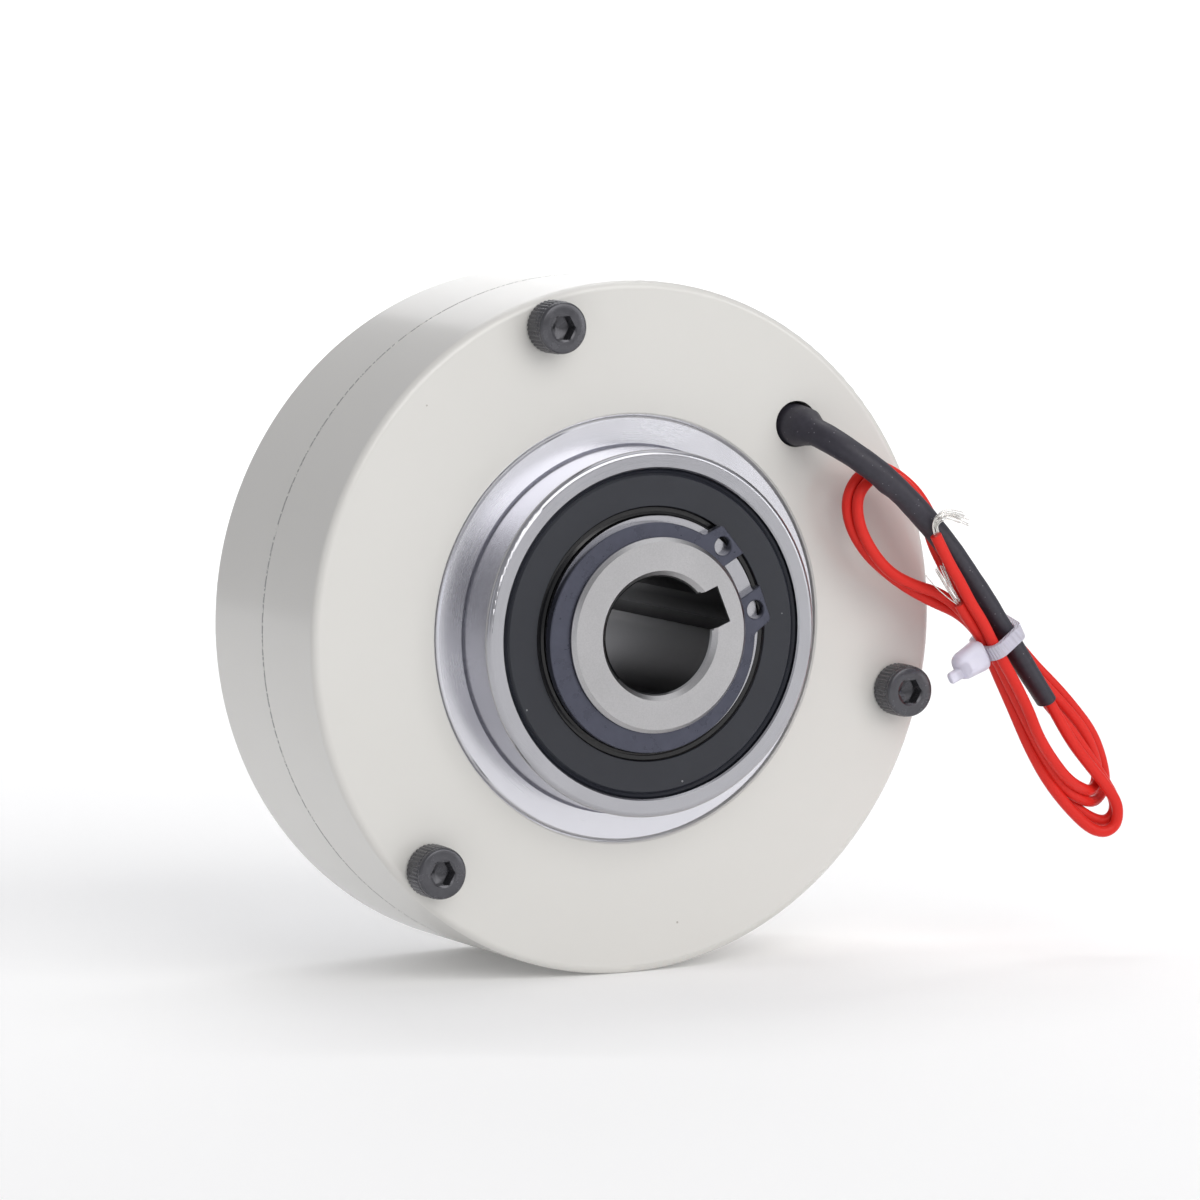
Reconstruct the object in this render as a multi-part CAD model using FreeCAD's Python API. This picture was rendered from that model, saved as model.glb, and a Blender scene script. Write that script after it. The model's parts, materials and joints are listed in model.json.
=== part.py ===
"""Hollow-shaft electromagnetic powder brake.

Millimetres. The shaft lies along Y, +Z is up. The origin is on the shaft's axis, in the plane of
the rear mounting face; the front face, where the leads come out, is on the -Y side.
"""
import FreeCAD, Part
import math
import os

os.makedirs("parts", exist_ok=True)
V = FreeCAD.Vector

# Housing: two painted steel halves, clamped together, with the coil's cavity between them
body_diameter = 89.0
body_thickness = 30.0
rim_rounding = 1.0
face_wall = 4.0
hub_wall = 4.0
hub_hole_chamfer = 0.2
parting_chamfer = 0.15

# Shares of the radial room between the hubs and the rim
pole_share = 0.1941
cavity_share = 0.3883

# Isolation ring between the two poles
pole_gap = 4.0
pole_step_share = 0.52
pole_step_depth = 1.5

# Coil
coil_clearance = 0.1
bobbin_flange = 1.0
bobbin_flange_gap = 0.3
tape_thickness = 0.3

# Shares of the cavity's width: the bobbin's core, and the flange's height over the winding
bobbin_core_share = 0.136
flange_share = 0.182

# Clamp screws, seen from the front: angles from +X towards +Z
screw_inset = 0.3
screw_count = 3
first_screw_angle = 105.9
screw_thread = 4.0
screw_length = 25.0
screw_hole_clearance = 0.25
screw_runout = 1.0
head_diameter = 6.8
head_height = 3.85
head_rounding = 0.4
socket_across_flats = 3.0
socket_depth = 2.0
socket_countersink = 0.25

# Tapped holes for mounting, in the rear face, midway between the clamp screws
mount_drill = 3.3
mount_depth = 8.0
mount_countersink = 0.4

# Lead hole in the front face, midway between two clamp screws
lead_hole_inset = 2.2
lead_hole_diameter = 6.0

# Sealed deep-groove ball bearings, 25 x 47 x 12
bearing_bore = 25.0
bearing_outside = 47.0
bearing_width = 12.0
bearing_corner = 0.7
bearing_proud = 6.8
ball_count = 10
race_clearance = 0.075
seal_seat_depth = 1.45
seal_seat_chamfer = 0.2
lip_land_depth = 1.6
lip_clearance = 0.05
seal_recess = 0.4
seal_bead_edge = 0.3
seal_bead_rise = 0.05
seal_bead_width = 0.3
seal_groove_width = 0.3
seal_groove_depth = 0.25
lip_zone_width = 1.2
lip_zone_slope = 0.25
lip_zone_depth = 0.35
lip_ridge_out = 0.45
lip_ridge_in = 0.15
lip_ridge_depth = 0.15
lip_edge_depth = 0.3
lip_depth = 0.7
cage_sheet = 0.55
rivet_diameter = 1.1
rivet_head = 0.45

# Ball diameter as a share of the bearing's width
ball_share = 0.5625

# Shares of the bearing's section, from bore to outside: the rings' walls at the raceways'
# lands and at the seals, and the cage's width
land_share = 0.3273
seal_seat_share = 0.218
lip_land_share = 0.238
cage_share = 0.182

# Bearing hubs, pressed into the housing
hub_relief = 0.2
hub_relief_depth = 0.9
hub_chamfer = 0.35
hub_seat_chamfer = 0.3
hub_web = 2.6
hub_shoulder = 3.1
ring_face_clearance = 0.4
web_clearance = 0.3

# Felt seals in the hubs' webs
felt_lip = 0.5
felt_width = 1.1
felt_depth = 2.3
felt_clearance = 0.05

# Shaft
shaft_bore = 15.0
shaft_beyond_ring = 0.9
shaft_chamfer = 0.5
bore_chamfer = 0.8
keyway_width = 5.0
keyway_depth = 2.3
keyway_angle = 22.0

# Rotor and its key
powder_gap = 0.5
rotor_side_gap = 0.6
rotor_rim = 5.0
rotor_hub_wall = 4.5
rotor_web = 6.0
rotor_groove_width = 3.0
rotor_groove_depth = 0.6
rotor_chamfer = 0.5
rotor_key_width = 4.0
rotor_key_height = 4.0
rotor_key_in_shaft = 1.7
rotor_key_inset = 1.1
spacer_wall = 2.5

# External retaining rings for a 25 mm shaft
ring_thickness = 1.2
ring_edge = 0.12
ring_groove_width = 1.3
ring_groove_depth = 0.55
ring_beam_back = 3.4
ring_beam_front = 2.1
ring_gap = 4.9
ring_lug_reach = 3.75
ring_lug_width = 4.7
ring_lug_slope = 0.8
ring_lug_flare = 0.3
ring_lug_corner = 0.6
ring_lug_fillet = 0.8
ring_hole_diameter = 2.4
ring_hole_inset = 2.1
front_ring_angle = 29.5
rear_ring_angle = 90.0

# Leads: a heat-shrink sleeve, two wires folded into a tied hank, and their stripped ends.
# Points lie in the depth planes named here; x and z as listed.
sleeve_diameter = 3.6
wire_diameter = 1.5
core_diameter = 1.0
sleeve_depth = -38.9
upper_hank_depth = -35.6
sleeve_first_run = 6.5
sleeve_swell_diameter = 5.5
sleeve_swell_proud = 1.4
sleeve_swell_rounding = 0.9
sleeve_points = [
    (28.8, -38.2, 22.4), (34.2, sleeve_depth, 17.9), (39.6, sleeve_depth, 12.5),
    (44.0, sleeve_depth, 6.7), (48.3, sleeve_depth, 0.7), (53.9, sleeve_depth, -6.5),
    (57.1, sleeve_depth, -11.7),
]
lower_hank_points = [
    (55.1, -17.0), (60.0, -25.2), (64.6, -29.9), (68.9, -27.0), (67.3, -21.9),
]
hank_exit_run = 5.5
straight_in_tie = 3.0
upper_hank_points = [
    (38.2, 4.8), (31.2, 9.9), (28.4, 16.4), (30.8, 20.3), (36.6, 20.0), (41.6, 14.4),
    (43.4, 8.7),
]
end_a_points = [(42.0, -41.0, 6.0), (39.8, -41.7, 10.9)]
end_b_points = [(42.3, -40.0, 1.9)]
core_length = 3.5
hank_clearance = 0.05
strand_gap = 0.1
arc_share = 0.45
bundle_rounding = 0.3

# Cable tie
tie_band = 0.9
tie_width = 2.2
tie_clearance = 0.1
tie_head_length = 3.4
tie_head_depth = 3.4
tie_head_width = 3.2
tie_tail_length = 1.8
tie_tail_thickness = 1.1
tie_corner = 0.6
tie_head_chamfer = 0.48

# How far cutting shapes pass the face they cut, and how near counts as the same place
cut_overrun = 1.0
near = 1e-4

# Places worked out from the sizes above
body_radius = body_diameter / 2
hub_radius = bearing_outside / 2 + hub_wall
room = body_radius - hub_radius
pole_wall = room * pole_share
pole_step_radius = hub_radius + pole_wall * pole_step_share
front_face = -body_thickness
mid_plane = -body_thickness / 2
cavity_inner = hub_radius + pole_wall
cavity_width = room * cavity_share
cavity_outer = cavity_inner + cavity_width
bobbin_core = cavity_width * bobbin_core_share
screw_circle = (cavity_outer + body_radius) / 2 - screw_inset
lead_circle = cavity_outer - lead_hole_inset
cavity_front = front_face + face_wall
pole_end = mid_plane - pole_gap / 2
bearing_out = front_face - bearing_proud
bearing_in = bearing_out + bearing_width
bearing_centre = bearing_out + bearing_width / 2
ball_pitch = (bearing_bore + bearing_outside) / 4
section = (bearing_outside - bearing_bore) / 2
ball_radius = bearing_width * ball_share / 2
outer_land = bearing_outside / 2 - section * land_share
inner_land = bearing_bore / 2 + section * land_share
seal_seat_radius = bearing_outside / 2 - section * seal_seat_share
lip_land_radius = bearing_bore / 2 + section * lip_land_share
cage_inner = ball_pitch - section * cage_share / 2
cage_outer = ball_pitch + section * cage_share / 2
web_in = bearing_in + hub_web
shaft_radius = bearing_bore / 2
shaft_end = bearing_out - ring_thickness - shaft_beyond_ring
rotor_face = web_in + rotor_side_gap
spacer_radius = shaft_radius + spacer_wall


def shape_of(profile):
    """Solid of revolution about the shaft's axis, from (radius, y) points. A point that is a
    pair of pairs is an arc: its middle, then its end."""
    edges = []
    start = profile[0]
    here = V(start[0], start[1], 0)
    for item in profile[1:] + [start]:
        if isinstance(item[0], tuple):
            middle, end = (V(r, y, 0) for r, y in item)
            edges.append(Part.Arc(here, middle, end).toShape())
        else:
            end = V(item[0], item[1], 0)
            edges.append(Part.LineSegment(here, end).toShape())
        here = end
    face = Part.Face(Part.Wire(edges))
    return face.revolve(V(0, 0, 0), V(0, 1, 0), 360)


def corner(r, y, radius, r_sign, y_sign):
    """Arc of a quarter round whose square corner is (r, y); it starts on the face at y."""
    start = (r - r_sign * radius, y)
    cut = radius * (1 - math.sqrt(0.5))
    middle = (r - r_sign * cut, y - y_sign * cut)
    return start, (middle, (r, y - y_sign * radius))


def polar(radius, angle, y):
    """Point at an angle seen from the front, from +X towards +Z."""
    turn = math.radians(angle)
    return V(radius * math.cos(turn), y, radius * math.sin(turn))


def turned(shape, angle):
    """The shape turned about the shaft's axis, from +X towards +Z."""
    copy = shape.copy()
    copy.rotate(V(0, 0, 0), V(0, 1, 0), -angle)
    return copy


def rear_of(shape):
    """The rear twin of a front piece, mirrored in the housing's middle plane."""
    return shape.mirror(V(0, mid_plane, 0), V(0, 1, 0))


def pin(radius, y_low, y_high, at):
    return Part.makeCylinder(radius, y_high - y_low, V(at.x, y_low, at.z), V(0, 1, 0))


def spoke(width, r_low, r_high, y_low, y_high, angle):
    """Box along a radius, for keys and keyways."""
    box = Part.makeBox(r_high - r_low, y_high - y_low, width, V(r_low, y_low, -width / 2))
    return turned(box, angle)


def screw_places(offset):
    """Places on the screws' circle, turned on from the clamp screws by an offset."""
    step = 360 / screw_count
    return [polar(screw_circle, first_screw_angle + offset + step * i, 0)
            for i in range(screw_count)]


def housing_half():
    rim_start, rim_arc = corner(body_radius, front_face, rim_rounding, 1, -1)
    return shape_of([
        (hub_radius, front_face + hub_hole_chamfer),
        (hub_radius + hub_hole_chamfer, front_face),
        rim_start,
        rim_arc,
        (body_radius, mid_plane - parting_chamfer),
        (body_radius - parting_chamfer, mid_plane),
        (cavity_outer, mid_plane),
        (cavity_outer, cavity_front),
        (cavity_inner, cavity_front),
        (cavity_inner, pole_end - pole_step_depth),
        (pole_step_radius, pole_end - pole_step_depth),
        (pole_step_radius, pole_end),
        (hub_radius, pole_end),
    ])


def front_housing():
    half = housing_half()
    hole_radius = screw_thread / 2 + screw_hole_clearance
    for at in screw_places(0):
        half = half.cut(pin(hole_radius, front_face, mid_plane, at))
    lead = polar(lead_circle, lead_angle(), 0)
    return half.cut(pin(lead_hole_diameter / 2, front_face, cavity_front, lead))


def rear_housing():
    half = rear_of(housing_half())
    thread_end = front_face + screw_length + screw_runout
    for at in screw_places(0):
        half = half.cut(pin(screw_thread / 2, mid_plane, thread_end, at))
    for at in screw_places(180 / screw_count):
        half = half.cut(pin(mount_drill / 2, -mount_depth, 0, at))
        wide = mount_drill / 2 + mount_countersink
        sink = Part.makeCone(mount_drill / 2, wide, mount_countersink,
                             V(at.x, -mount_countersink, at.z), V(0, 1, 0))
        half = half.cut(sink)
    return half


def lead_angle():
    return first_screw_angle - 180 / screw_count


def isolation_ring():
    other_end = mid_plane + pole_gap / 2
    return shape_of([
        (hub_radius, pole_end),
        (pole_step_radius, pole_end),
        (pole_step_radius, pole_end - pole_step_depth),
        (cavity_inner, pole_end - pole_step_depth),
        (cavity_inner, other_end + pole_step_depth),
        (pole_step_radius, other_end + pole_step_depth),
        (pole_step_radius, other_end),
        (hub_radius, other_end),
    ])


def coil_front():
    return cavity_front + coil_clearance


def coil_bobbin():
    inner = cavity_inner + coil_clearance
    core = inner + bobbin_core
    flange = flange_radius()
    front = coil_front()
    rear = 2 * mid_plane - front
    return shape_of([
        (inner, front), (flange, front), (flange, front + bobbin_flange),
        (core, front + bobbin_flange), (core, rear - bobbin_flange),
        (flange, rear - bobbin_flange), (flange, rear), (inner, rear),
    ])


def flange_radius():
    return cavity_outer - bobbin_flange_gap


def coil_layer(inner, outer):
    front = coil_front() + bobbin_flange
    rear = 2 * mid_plane - front
    return shape_of([
        (inner, front), (outer, front), (outer, rear), (inner, rear),
    ])


def clamp_screws():
    screws = []
    for at in screw_places(0):
        head = pin(head_diameter / 2, front_face - head_height, front_face, at)
        top = [e for e in head.Edges if abs(e.BoundBox.YMax - front_face + head_height) < near]
        head = head.makeFillet(head_rounding, top)
        screw = head.fuse(pin(screw_thread / 2, front_face, front_face + screw_length, at))
        screw = screw.cut(hex_socket(at)).removeSplitter()
        screws.append(screw)
    return Part.makeCompound(screws)


def hex_socket(at):
    top = front_face - head_height
    reach = socket_across_flats / math.sqrt(3)
    corners = [V(at.x + reach * math.cos(math.radians(60 * i)), top,
                 at.z + reach * math.sin(math.radians(60 * i))) for i in range(7)]
    socket = Part.Face(Part.makePolygon(corners)).extrude(V(0, socket_depth, 0))
    wide = reach + socket_countersink
    sink = Part.makeCone(wide, reach - socket_countersink, 2 * socket_countersink,
                         V(at.x, top, at.z), V(0, 1, 0))
    return socket.fuse(sink)


def hub():
    seat = bearing_outside / 2
    web_face = bearing_in + ring_face_clearance
    hole = spacer_radius + web_clearance
    felt_front = web_face + felt_lip
    felt_outer = spacer_radius + felt_clearance + felt_depth
    nose = hub_radius - hub_relief
    return shape_of([
        (seat, front_face + hub_seat_chamfer),
        (seat + hub_seat_chamfer, front_face),
        (nose - hub_chamfer, front_face),
        (nose, front_face + hub_chamfer),
        (nose, front_face + hub_relief_depth),
        (hub_radius, front_face + hub_relief_depth),
        (hub_radius, web_in),
        (hole, web_in),
        (hole, felt_front + felt_width),
        (felt_outer, felt_front + felt_width),
        (felt_outer, felt_front),
        (hole, felt_front),
        (hole, web_face),
        (seat - hub_shoulder, web_face),
        (seat - hub_shoulder, bearing_in),
        (seat, bearing_in),
    ])


def felt_seal():
    inner = spacer_radius + felt_clearance
    front = bearing_in + ring_face_clearance + felt_lip
    return shape_of([
        (inner, front), (inner + felt_depth, front),
        (inner + felt_depth, front + felt_width), (inner, front + felt_width),
    ])


def race_half_width(land):
    groove = ball_radius + race_clearance
    return math.sqrt(groove ** 2 - (land - ball_pitch) ** 2)


def bearing_outer_ring():
    outside = bearing_outside / 2
    groove = ball_pitch + ball_radius + race_clearance
    half = race_half_width(outer_land)
    front_start, front_arc = corner(outside, bearing_out, bearing_corner, 1, -1)
    rear_start, rear_arc = corner(outside, bearing_in, bearing_corner, 1, 1)
    rear_edge = (outside, bearing_in - bearing_corner)
    return shape_of([
        (seal_seat_radius + seal_seat_chamfer, bearing_out),
        front_start,
        front_arc,
        rear_edge,
        (rear_arc[0], rear_start),
        (seal_seat_radius + seal_seat_chamfer, bearing_in),
        (seal_seat_radius, bearing_in - seal_seat_chamfer),
        (seal_seat_radius, bearing_in - seal_seat_depth),
        (outer_land, bearing_in - seal_seat_depth),
        (outer_land, bearing_centre + half),
        ((groove, bearing_centre), (outer_land, bearing_centre - half)),
        (outer_land, bearing_out + seal_seat_depth),
        (seal_seat_radius, bearing_out + seal_seat_depth),
        (seal_seat_radius, bearing_out + seal_seat_chamfer),
    ])


def bearing_inner_ring():
    groove = ball_pitch - ball_radius - race_clearance
    half = race_half_width(inner_land)
    return shape_of([
        (shaft_radius, bearing_out + bearing_corner),
        (shaft_radius + bearing_corner, bearing_out),
        (lip_land_radius, bearing_out),
        (lip_land_radius, bearing_out + lip_land_depth),
        (inner_land, bearing_out + lip_land_depth),
        (inner_land, bearing_centre - half),
        ((groove, bearing_centre), (inner_land, bearing_centre + half)),
        (inner_land, bearing_in - lip_land_depth),
        (lip_land_radius, bearing_in - lip_land_depth),
        (lip_land_radius, bearing_in),
        (shaft_radius + bearing_corner, bearing_in),
        (shaft_radius, bearing_in - bearing_corner),
    ])


def bearing_seal(face, inward):
    """Lip seal set in from a bearing face: bead in the outer ring, flat face, step and lip."""
    top = face + inward * seal_recess
    back = face + inward * seal_seat_depth
    lip = lip_land_radius + lip_clearance
    bead = seal_seat_radius
    groove = bead - seal_bead_width - seal_groove_width
    return shape_of([
        (bead, back),
        (bead, top + inward * seal_bead_edge),
        (bead - seal_bead_width, top - inward * seal_bead_rise),
        (groove, top + inward * seal_groove_depth),
        (groove - seal_groove_width, top),
        (lip + lip_zone_width, top),
        (lip + lip_zone_width - lip_zone_slope, top + inward * lip_zone_depth),
        (lip + lip_ridge_out, top + inward * lip_zone_depth),
        (lip + lip_ridge_in, top + inward * lip_ridge_depth),
        (lip, top + inward * lip_edge_depth),
        (lip, top + inward * lip_depth),
        (lip + lip_depth, back),
    ])


def spheres(radius):
    """A sphere at each ball's place, its poles on a radius of the bearing and its seam in the
    plane of the cage's band."""
    ball = Part.makeSphere(radius)
    ball.rotate(V(0, 0, 0), V(0, 1, 0), 90)
    ball.translate(V(ball_pitch, bearing_centre, 0))
    step = 360 / ball_count
    return [turned(ball, step * i) for i in range(ball_count)]


def bearing_balls():
    return Part.makeCompound(spheres(ball_radius))


def bearing_cage():
    """Riveted ribbon cage: a flat band that swells round each ball, with a rivet between."""
    band = shape_of([
        (cage_inner, bearing_centre - cage_sheet), (cage_outer, bearing_centre - cage_sheet),
        (cage_outer, bearing_centre + cage_sheet), (cage_inner, bearing_centre + cage_sheet),
    ])
    pocket = ball_radius + race_clearance
    reach = pocket + cage_sheet
    zone = shape_of([
        (cage_inner, bearing_centre - reach), (cage_outer, bearing_centre - reach),
        (cage_outer, bearing_centre + reach), (cage_inner, bearing_centre + reach),
    ])
    cage = band.fuse(zone.common(Part.makeCompound(spheres(reach))).Solids)
    half = cage_sheet + rivet_head
    for i in range(ball_count):
        at = polar(ball_pitch, 360 / ball_count * (i + 0.5), 0)
        cage = cage.fuse(pin(rivet_diameter / 2, bearing_centre - half, bearing_centre + half, at))
    return cage.cut(Part.makeCompound(spheres(pocket))).removeSplitter()


def hollow_shaft():
    bore = shaft_bore / 2
    other_end = 2 * mid_plane - shaft_end
    blank = shape_of([
        (bore + bore_chamfer, shaft_end),
        (shaft_radius - shaft_chamfer, shaft_end),
        (shaft_radius, shaft_end + shaft_chamfer),
        (shaft_radius, other_end - shaft_chamfer),
        (shaft_radius - shaft_chamfer, other_end),
        (bore + bore_chamfer, other_end),
        (bore, other_end - bore_chamfer),
        (bore, shaft_end + bore_chamfer),
    ])
    groove = ring_groove()
    shaft = blank.cut(groove).cut(rear_of(groove))
    keyway = spoke(keyway_width, 0, bore + keyway_depth, shaft_end, other_end, keyway_angle)
    return shaft.cut(keyway).cut(rotor_key())


def ring_groove():
    bottom = shaft_radius - ring_groove_depth
    top = shaft_radius + cut_overrun
    return shape_of([
        (bottom, bearing_out - ring_groove_width), (top, bearing_out - ring_groove_width),
        (top, bearing_out), (bottom, bearing_out),
    ])


def rotor_key():
    """Square key opposite the bore's keyway, so the shaft's wall stays thick."""
    low = shaft_radius - rotor_key_in_shaft
    front = rotor_face + rotor_key_inset
    return spoke(rotor_key_width, low, low + rotor_key_height, front, 2 * mid_plane - front,
                 keyway_angle + 180)


def rotor():
    rim = hub_radius - powder_gap
    rear = 2 * mid_plane - rotor_face
    hub_top = shaft_radius + rotor_hub_wall
    web = rotor_web / 2
    groove = rotor_groove_width / 2
    drum = shape_of([
        (shaft_radius, rotor_face), (hub_top, rotor_face), (hub_top, mid_plane - web),
        (rim - rotor_rim, mid_plane - web), (rim - rotor_rim, rotor_face),
        (rim - rotor_chamfer, rotor_face), (rim, rotor_face + rotor_chamfer),
        (rim, mid_plane - groove), (rim - rotor_groove_depth, mid_plane - groove),
        (rim - rotor_groove_depth, mid_plane + groove), (rim, mid_plane + groove),
        (rim, rear - rotor_chamfer), (rim - rotor_chamfer, rear),
        (rim - rotor_rim, rear), (rim - rotor_rim, mid_plane + web),
        (hub_top, mid_plane + web), (hub_top, rear), (shaft_radius, rear),
    ])
    return drum.cut(rotor_key())


def spacer():
    return shape_of([
        (shaft_radius, bearing_in), (spacer_radius, bearing_in),
        (spacer_radius, rotor_face), (shaft_radius, rotor_face),
    ])


def retaining_ring(angle):
    """Tapering ring with two lugs beside a parallel gap, lying against the bearing's inner ring.
    It is made with the gap on +X and then turned."""
    front = bearing_out - ring_thickness
    inner = shaft_radius - ring_groove_depth
    outer = inner + (ring_beam_back + ring_beam_front) / 2
    shift = (ring_beam_back - ring_beam_front) / 2
    body = Part.makeCylinder(outer, ring_thickness, V(-shift, front, 0), V(0, 1, 0))
    body = body.fuse([ring_lug(front, inner, side) for side in (-1, 1)]).removeSplitter()
    roots = [e for e in body.Edges if is_lug_root(e, outer)]
    body = body.makeFillet(ring_lug_fillet, roots)
    body = body.cut(Part.makeBox(body_radius, ring_thickness, ring_gap, V(0, front, -ring_gap / 2)))
    body = body.cut(Part.makeCylinder(inner, ring_thickness, V(0, front, 0), V(0, 1, 0)))
    for side in (-1, 1):
        at = V(inner + ring_lug_reach - ring_hole_inset, 0, side * (ring_gap + ring_lug_width) / 2)
        body = body.cut(pin(ring_hole_diameter / 2, front, bearing_out, at))
    face_edges = [e for e in body.Edges if e.BoundBox.YMax < front + near]
    return turned(body.makeChamfer(ring_edge, face_edges), angle)


def ring_lug(front, inner, side):
    """Lug beside the gap; it reaches farthest at the gap and widens towards its root."""
    near_side = ring_gap / 2 - ring_lug_corner
    far_side = ring_gap / 2 + ring_lug_width
    top = inner + ring_lug_reach
    outline = [(0, near_side), (top, near_side), (top, ring_gap / 2),
               (top - ring_lug_slope, far_side), (inner, far_side + ring_lug_flare),
               (0, far_side + ring_lug_flare), (0, near_side)]
    face = Part.Face(Part.makePolygon([V(x, front, side * z) for x, z in outline]))
    lug = face.extrude(V(0, ring_thickness, 0))
    corners = [e for e in lug.Edges if e.BoundBox.YLength > near and e.BoundBox.XLength < near
               and abs(e.CenterOfMass.x - top + ring_lug_slope) < near]
    return lug.makeFillet(ring_lug_corner, corners)


def is_lug_root(edge, outer):
    """True on the outer side of each lug, where it rises from the tapering beam."""
    box = edge.BoundBox
    at = edge.CenterOfMass
    lengthwise = box.YLength > near and box.XLength < near
    return lengthwise and abs(at.z) > ring_gap and math.hypot(at.x, at.z) < outer and at.x > 0


def path_of(points):
    """Straight runs with a tangent arc at each inner point, as large as the two runs allow.
    Returns the wire and the arcs' radii."""
    edges = []
    radii = []
    here = points[0]
    for before, at, after in zip(points, points[1:], points[2:]):
        come = (at - before).normalize()
        go = (after - at).normalize()
        turn = come.getAngle(go)
        reach = arc_share * min((at - before).Length, (after - at).Length)
        radius = reach / math.tan(turn / 2)
        start = at - come * reach
        end = at + go * reach
        inward = (go - come).normalize()
        middle = at + inward * (radius / math.cos(turn / 2) - radius)
        edges.append(Part.LineSegment(here, start).toShape())
        edges.append(Part.Arc(start, middle, end).toShape())
        radii.append(radius)
        here = end
    edges.append(Part.LineSegment(here, points[-1]).toShape())
    return Part.Wire(edges), radii


def tube(name, points, diameter):
    """Round tube along a route; prints its radii and how its volume fits its length."""
    wire, radii = path_of(points)
    section = Part.Wire(Part.makeCircle(diameter / 2, points[0], points[1] - points[0]))
    solid = wire.makePipeShell([section], True, True)
    ratio = solid.Volume / (math.pi * diameter ** 2 / 4 * wire.Length)
    shown = ", ".join("%.1f" % r for r in radii)
    print("%s: length %.1f, arc radii %s, volume ratio %.3f" % (name, wire.Length, shown, ratio))
    return solid


def flat_bundle(name, points, width, depth):
    """Bundle of strands along a route in an X-Z plane: a rounded flat section, width across
    the route and depth along Y."""
    wire, radii = path_of(points)
    along = (points[1] - points[0]).normalize()
    across = V(-along.z, 0, along.x)
    side = across * (width / 2)
    deep = V(0, depth / 2, 0)
    corners = [points[0] + side + deep, points[0] - side + deep,
               points[0] - side - deep, points[0] + side - deep]
    section = Part.makePolygon(corners + [corners[0]])
    solid = wire.makePipeShell([section], True, False)
    rounding = min(width, depth) * bundle_rounding
    longways = [e for e in solid.Edges if not is_cap_edge(e, points)]
    solid = solid.makeFillet(rounding, longways)
    shown = ", ".join("%.1f" % r for r in radii)
    print("%s: length %.1f, arc radii %s, volume %.1f" % (name, wire.Length, shown, solid.Volume))
    return solid


def is_cap_edge(edge, points):
    """True for the edges of the two end faces, which stay sharp to meet their neighbours."""
    for end, inner in ((points[0], points[1]), (points[-1], points[-2])):
        along = (inner - end).normalize()
        offsets = [abs((v.Point - end).dot(along)) for v in edge.Vertexes]
        if max(offsets) < near:
            return True
    return False


def lead_route():
    """The sleeve's route: off the coil's flange, straight out of the hole, over and down."""
    start = polar(lead_circle, lead_angle(), coil_front())
    return [start, start - V(0, sleeve_first_run, 0)] + [V(*p) for p in sleeve_points]


def tie_place():
    """Where the tie crosses the sleeve, the way down the bundle, and the way across it."""
    route = lead_route()
    here = (route[-3] + route[-2]) * 0.5
    down = (route[-2] - route[-3]).normalize()
    return here, down, V(down.z, 0, -down.x)


def in_bundle(across, down_by, depth):
    """Point in the tied bundle: across from the sleeve's axis, down along it, at a depth."""
    here, down, side = tie_place()
    at = here + side * across + down * down_by
    return V(at.x, depth, at.z)


def strand_offset():
    """Middle of the bundle of strands beside the sleeve, measured from the sleeve's axis."""
    return sleeve_diameter / 2 + hank_clearance + wire_diameter


def bundle_start():
    """Where the strands' ends meet the hank, at the upper edge of the tie."""
    return -tie_width / 2 - tie_clearance


def lower_hank():
    points = [in_bundle(strand_offset(), bundle_start(), sleeve_depth),
              in_bundle(strand_offset(), straight_in_tie, sleeve_depth)]
    points += [V(x, sleeve_depth, z) for x, z in lower_hank_points]
    sleeve_end = V(*sleeve_points[-1])
    way_out = (sleeve_end - V(*sleeve_points[-2])).normalize()
    points += [sleeve_end + way_out * hank_exit_run, sleeve_end]
    return flat_bundle("lower hank", points, 2 * wire_diameter, 2 * wire_diameter)


def upper_hank():
    low = tie_width / 2
    points = [in_bundle(strand_offset(), low, upper_hank_depth),
              in_bundle(strand_offset(), -straight_in_tie, upper_hank_depth)]
    points += [V(x, upper_hank_depth, z) for x, z in upper_hank_points]
    points += [in_bundle(hank_clearance, -straight_in_tie, upper_hank_depth),
               in_bundle(hank_clearance, low, upper_hank_depth)]
    return flat_bundle("upper hank", points, 2 * wire_diameter, wire_diameter)


def lead_sleeve():
    """Tube along the route, swollen where it leaves the housing and fills the hole."""
    route = lead_route()
    swell = pin(sleeve_swell_diameter / 2, front_face - sleeve_swell_proud, cavity_front, route[0])
    nose = [e for e in swell.Edges if e.BoundBox.YMax < front_face]
    swell = swell.makeFillet(sleeve_swell_rounding, nose)
    return tube("lead sleeve", route, sleeve_diameter).fuse(swell).removeSplitter()


def end_route(side, points):
    """Route of a wire's free end, from the hank to the end of its insulation."""
    across = strand_offset() + side * (wire_diameter + strand_gap) / 2
    depth = sleeve_depth - wire_diameter / 2
    route = [in_bundle(across, bundle_start(), depth),
             in_bundle(across, bundle_start() - straight_in_tie, depth)]
    return route + [V(*p) for p in points]


def strand_cores():
    """The two bare cores that stick out of the insulation."""
    cores = []
    for side, points in ((-1, end_a_points), (1, end_b_points)):
        route = end_route(side, points)
        way = route[-1] - route[-2]
        cores.append(Part.makeCylinder(core_diameter / 2, core_length, route[-1], way))
    return Part.makeCompound(cores)


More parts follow.
